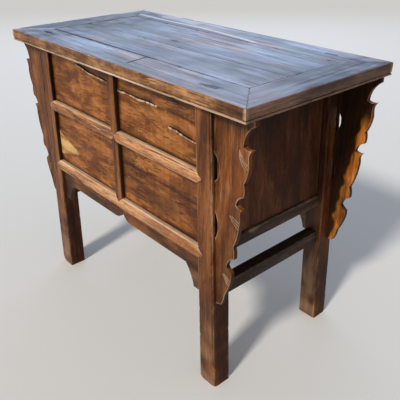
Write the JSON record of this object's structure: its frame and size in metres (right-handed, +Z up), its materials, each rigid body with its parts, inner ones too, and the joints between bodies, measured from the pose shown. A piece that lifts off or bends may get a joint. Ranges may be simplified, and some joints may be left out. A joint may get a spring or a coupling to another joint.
{
  "type": "altar coffer cabinet",
  "caption": "Splay-legged wooden altar coffer with a framed overhanging top, carved wing spandrels, panelled back and ends, and sliding drawers with drop pulls over a closed store.",
  "frame": {"origin": "on the floor under the middle of the top", "axes": "+Z up, +X along the length, -Y the way the drawers open, +Y the plain panelled back"},
  "size_m": [1.055, 0.525, 0.85],
  "materials": {
    "lacquered_wood": "dark, worn, half-gloss lacquer",
    "worn_wood": "brown lacquer rubbed through on the edges",
    "shaded_wood": "dark brown satin lacquer",
    "bare_wood": "unfinished, matt",
    "brass": "old, dull brass"
  },
  "bodies": {
    "carcass": {"top_frame_back": "lacquered_wood", "top_frame_front": "lacquered_wood", "top_frame_left": "lacquered_wood", "top_frame_right": "lacquered_wood", "top_board_back": "lacquered_wood", "top_board_front": "lacquered_wood", "top_batten_left": "bare_wood", "top_batten_right": "bare_wood", "leg_back_left": "worn_wood", "leg_back_right": "worn_wood", "leg_front_left": "worn_wood", "leg_front_right": "worn_wood", "spandrel_back_left": "worn_wood", "spandrel_back_right": "worn_wood", "spandrel_front_left": "worn_wood", "spandrel_front_right": "worn_wood", "back_mid_rail": "worn_wood", "back_bottom_rail": "worn_wood", "back_post_upper": "worn_wood", "back_post_lower": "worn_wood", "back_panel_upper_left": "worn_wood", "back_panel_upper_right": "worn_wood", "back_panel_lower_left": "worn_wood", "back_panel_lower_right": "worn_wood", "back_apron": "worn_wood", "front_drawer_rail": "worn_wood", "front_bottom_rail": "worn_wood", "front_post_upper": "worn_wood", "front_post_lower": "worn_wood", "front_panel_lower_left": "worn_wood", "front_panel_lower_right": "worn_wood", "front_apron": "worn_wood", "end_top_rail_left": "shaded_wood", "end_top_rail_right": "shaded_wood", "end_panel_left": "shaded_wood", "end_panel_right": "shaded_wood", "end_rail_left": "shaded_wood", "end_rail_right": "shaded_wood", "end_stretcher_left": "shaded_wood", "end_stretcher_right": "shaded_wood", "floor_board": "bare_wood", "drawer_runner_left": "bare_wood", "drawer_runner_centre": "bare_wood", "drawer_runner_right": "bare_wood"},
    "drawer_left": {"drawer_left_front": "worn_wood", "drawer_left_side_outer": "bare_wood", "drawer_left_side_inner": "bare_wood", "drawer_left_back": "bare_wood", "drawer_left_bottom": "bare_wood", "pull_left_plate": "brass", "pull_left_eye": "brass"},
    "drawer_right": {"drawer_right_front": "worn_wood", "drawer_right_side_outer": "bare_wood", "drawer_right_side_inner": "bare_wood", "drawer_right_back": "bare_wood", "drawer_right_bottom": "bare_wood", "pull_right_plate": "brass", "pull_right_eye": "brass"},
    "drop_left": {"pull_left_drop": "brass"},
    "drop_right": {"pull_right_drop": "brass"}
  },
  "joints": [
    {"name": "drawer_left_slide", "type": "slide", "parent": "carcass", "child": "drawer_left", "axis": [0, -1, 0], "range_m": [0, 0.36]},
    {"name": "drawer_right_slide", "type": "slide", "parent": "carcass", "child": "drawer_right", "axis": [0, -1, 0], "range_m": [0, 0.36]},
    {"name": "drop_left_swing", "type": "hinge", "parent": "drawer_left", "child": "drop_left", "pos_m": [-0.17529, -0.24815, 0.74155], "axis": [-1, 0, 0], "range_deg": [-4, 105]},
    {"name": "drop_right_swing", "type": "hinge", "parent": "drawer_right", "child": "drop_right", "pos_m": [0.17529, -0.24815, 0.74155], "axis": [-1, 0, 0], "range_deg": [-4, 105]}
  ]
}
